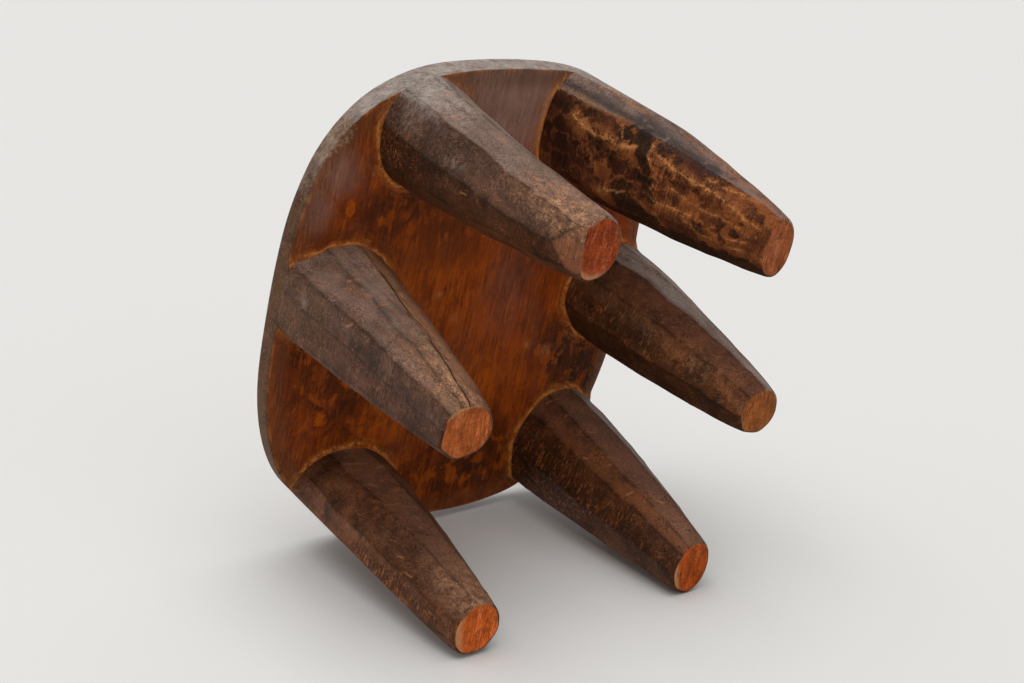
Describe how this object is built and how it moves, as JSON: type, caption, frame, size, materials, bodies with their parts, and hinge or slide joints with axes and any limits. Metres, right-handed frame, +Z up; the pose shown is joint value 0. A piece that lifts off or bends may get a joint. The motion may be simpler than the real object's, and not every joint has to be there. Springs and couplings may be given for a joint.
{
  "type": "carved stool",
  "caption": "Low wooden stool hewn from a log: an oblong dished seat with rounded corners on stout tapered, adze-faceted legs whose outer faces run on from the rim.",
  "frame": {"origin": "on the floor plane of the feet, under the middle of the seat", "axes": "+Z up, the seat's long side along Y, right is +X seen from the front (-Y)"},
  "size_m": [0.36, 0.416, 0.253],
  "materials": {
    "seat_wood": "hand-hewn, rubbed and stained rust brown, grey and worn along the rim",
    "leg_wood": "adze-faceted, dark brown with a dull handled sheen, raw red-brown end grain at the foot",
    "charred_leg_wood": "adze-faceted, scorched dark with tan veins, raw red-brown end grain at the foot"
  },
  "bodies": {
    "root": {"seat": "seat_wood", "leg_rear_right": "leg_wood", "leg_middle_right": "leg_wood", "leg_front_right": "leg_wood", "leg_rear_left": "charred_leg_wood", "leg_middle_left": "leg_wood", "leg_front_left": "leg_wood"}
  },
  "joints": []
}
